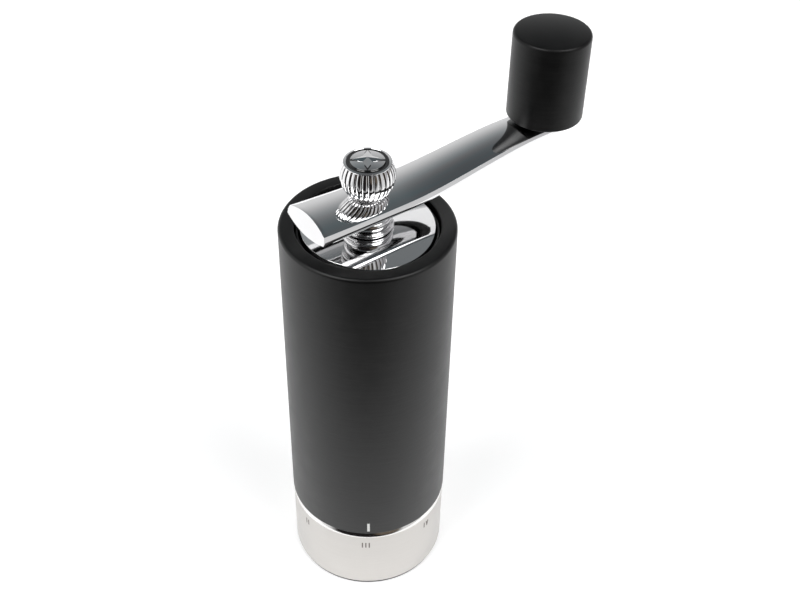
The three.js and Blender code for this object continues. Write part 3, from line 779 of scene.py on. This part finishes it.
# the inlay on the nut: a bright domed button in a black ring, with a plain faceted star for an emblem
inlayShape = {"ring": 6.05, "ringDrop": 0.45, "button": 5.0, "buttonEdge": 0.1, "dome": 0.5,
              "clear": 0.02, "domeSink": 0.05, "points": 4, "starReach": 4.4, "starWaist": 2.0,
              "starSide": 0.25, "outline": 0.35, "outlineReach": 0.56, "rise": 0.15, "peak": 0.55}


def makeStar(name, reach, waist, bottom, top, material, slotName):
    # a flat star drawn from a ring of points, its middle lifted to a peak
    size = inlayShape
    clearSelection()
    bpy.ops.mesh.primitive_circle_add(vertices=2 * size["points"], radius=reach * mm, fill_type="NGON",
                                      location=(0, 0, bottom * mm))
    star = bpy.context.object
    bpy.ops.object.transform_apply(location=True)
    star.name = name

    def isWaist(place):
        return round(math.atan2(place.y, place.x) / math.pi * size["points"]) % 2 == 1

    selectWhere(star, "VERT", isWaist)
    bpy.ops.transform.resize(value=(waist / reach, waist / reach, 1), center_override=(0, 0, 0))
    leaveEdit()
    editAll(star)
    bpy.ops.mesh.extrude_region_move(TRANSFORM_OT_translate={"value": (0, 0, size["starSide"] * mm)})
    bpy.ops.mesh.extrude_region_move(TRANSFORM_OT_translate={"value": (0, 0, 0)})
    bpy.ops.mesh.merge(type="CENTER")
    bpy.ops.transform.translate(value=(0, 0, (top - bottom - size["starSide"]) * mm))
    leaveEdit()
    tidyShell(star)
    finishPiece(star, "nut", material, slotName)


def makeInlay():
    size = inlayShape
    low, high = inlay["bottom"] + size["clear"], inlay["top"]
    face = high - size["dome"]
    ringTop = face - size["ringDrop"]
    button, edge = size["button"], size["buttonEdge"]
    profile = [(0, low), (size["ring"], low), (size["ring"], ringTop), (button + edge, ringTop),
               (button, ringTop + edge), (button, face - edge), (button - edge, face)]
    profile += domePoints(button - edge, face, high - size["domeSink"])
    piece = turnPiece("inlay_button", profile, 96)
    smoothShade(piece, 30)
    finishPiece(piece, "nut", darkInlay, "dark_inlay", "nut_medallion")
    finishFaces(piece, chrome, lambda place: place.z > face * mm + weld)
    reach, waist = size["starReach"], size["starWaist"]
    makeStar("star_outline", reach + size["outlineReach"], waist + size["outline"], face,
             high + size["rise"], darkInlay, "dark_inlay")
    makeStar("star_facets", reach, waist, face + size["rise"], high + size["peak"], chrome, "chrome")


makeInlay()

# the knob: a plain drum with a soft top edge, slightly domed
knobShape = {"edge": 1.1, "foot": 0.35, "dome": 0.9, "bore": 4.7, "roof": 4}


def makeKnob():
    size = knobShape
    low, high = knobLow.z / mm, knobHigh.z / mm
    radius = (knobHigh.x - knobLow.x) / 2 / mm
    edge, foot = size["edge"], size["foot"]
    profile = [(0, high - size["roof"]), (size["bore"], high - size["roof"]), (size["bore"], low)]
    profile += arcPoints(foot, radius - foot, low + foot, -90, 0, 6)
    profile += arcPoints(edge, radius - edge, high - size["dome"] - edge, 0, 80, 8)
    profile += domePoints(*profile[-1], high)
    piece = turnPiece("knob_drum", profile, 128)
    smoothShade(piece, 35)
    settle(piece, 0, (knobMiddle.x / mm, knobMiddle.y / mm, 0))
    finishPiece(piece, "handle", knobLacquer, "lacquered_wood", "knob")


makeKnob()
print("nut, inlay and knob made")

# the nodes that stay as the frame made them get their finishes
finishes = {
    satinSteel: ["spindle", "knob_pin"],
    mouldedBlack: ["knob_washer"],
    softRubber: ["cap_seal"],
    turnedBronze: ["lower_bush", "upper_bush", "thrust_washer", "knob_sleeve", "nut_insert"],
    castAlloy: ["mechanism_housing", "lower_bridge", "upper_bridge", "burr_carrier"],
    hardSteel: ["inner_burr", "outer_burr", "burr_nut", "spindle_clip", "ring_clip", "detent_ball",
                "detent_spring", "knob_clip"]
    + [f"{kind}_screw_{i}" for kind in ("housing", "bridge") for i in (1, 2, 3)],
}
for material, names in finishes.items():
    for name in names:
        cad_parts[name].material_slots[0].material = material

# a plain pale floor, which ends a little way in front of the object
floorShape = {"front": -0.1, "back": 4, "side": 3, "drop": 0.0002, "colour": grey(0.7), "glow": 0.5}


def makeFloor():
    size = floorShape
    clearSelection()
    bpy.ops.mesh.primitive_plane_add(size=1, location=(0, (size["front"] + size["back"]) / 2, -size["drop"]))
    floor = bpy.context.object
    floor.name = "pale_floor"
    floor.scale = (2 * size["side"], size["back"] - size["front"], 1)
    bpy.ops.object.transform_apply(scale=True)
    finish = Finish("paleFloor", {"Roughness": 0.8, "Base Color": size["colour"], "Emission Color": grey(1),
                                  "Emission Strength": size["glow"]})
    floor.data.materials.append(finish.material)


makeFloor()

# soft studio light: pale walls all round under a dark ceiling, a dim front, and two soft boxes overhead
studio = {
    "walls": (0.76, 0.762, 0.765, 1), "ceiling": (0.075, 0.075, 0.08, 1), "ceilingEdge": (0.02, 1.02),
    "tint": (0.055, 0.08, 0.09, 1), "cloudScale": 2.2, "cloudEdge": (0.4, 0.62), "seen": grey(1.05),
    "leftWay": (-0.95, 0.1, 0.05), "leftEdge": (0.75, 0.95), "left": grey(1.4),
    "rightWay": (0.92, 0.35, 0.05), "rightEdge": (0.6, 0.9), "right": (0.45, 0.44, 0.46, 1),
    "frontWay": (-0.06, -0.995, 0.02), "frontEdge": (0.64, 0.82), "front": (0.014, 0.013, 0.013, 1),
    "warmWay": (0.42, -0.86, 0.1), "warmEdge": (0.93, 0.99), "warm": (0.14, 0.115, 0.09, 1),
    "boxWay": (0.5, -0.35, 0.79), "boxEdge": (0.94, 0.965), "box": grey(5.5),
    "twinWay": (-0.5, -0.35, 0.79), "twinEdge": (0.94, 0.965), "twin": grey(5.5),
}


def makeStudio():
    world = bpy.data.worlds.new("softStudio")
    world.use_nodes = True
    bpy.context.scene.world = world
    light = Shading(world.node_tree)
    sight = light.node("TexCoord", output="Generated")

    def patch(name):
        # a soft round patch of the sky, about one direction
        way = Vector(studio[name + "Way"]).normalized()
        return light.smooth(light.dot(sight, way), *studio[name + "Edge"])

    height = light.node("SeparateXYZ", {}, {0: sight}, "Z")
    cloud = light.smooth(light.noise(sight, studio["cloudScale"], 2), *studio["cloudEdge"])
    above = light.mix(cloud, studio["ceiling"], studio["tint"])
    colour = studio["walls"]
    for name in ("left", "right"):
        colour = light.mix(patch(name), colour, studio[name])
    colour = light.mix(light.smooth(height, *studio["ceilingEdge"]), colour, above)
    for name in ("front", "warm", "box", "twin"):
        colour = light.mix(patch(name), colour, studio[name])
    colour = light.mix(light.node("LightPath", output="Is Camera Ray"), colour, studio["seen"])
    light.join(world.node_tree.nodes["Background"].inputs["Color"], colour)


makeStudio()

# the camera looks down at the front, from above and a little turned
view = {"lens": 53.25, "pitch": 40.8184, "yaw": 2.05, "roll": 1.2031, "stand": (0, -272.4, 343.2)}


def makeCamera():
    yaw, pitch, roll = (math.radians(view[key]) for key in ("yaw", "pitch", "roll"))
    ahead = Vector((math.sin(yaw) * math.cos(pitch), math.cos(yaw) * math.cos(pitch), -math.sin(pitch)))
    side = Vector((math.cos(yaw), -math.sin(yaw), 0))
    up = side.cross(ahead)
    sideRolled = math.cos(roll) * side + math.sin(roll) * up
    upRolled = math.cos(roll) * up - math.sin(roll) * side
    clearSelection()
    bpy.ops.object.camera_add()
    camera = bpy.context.object
    camera.name = "studio_camera"
    camera.data.lens = view["lens"]
    turn = Matrix((sideRolled, upRolled, -ahead)).transposed()
    camera.matrix_world = Matrix.Translation(Vector(view["stand"]) * mm) @ turn.to_4x4()
    bpy.context.scene.camera = camera


makeCamera()
bpy.context.scene.view_settings.view_transform = "Standard"
print("floor, light and camera set")
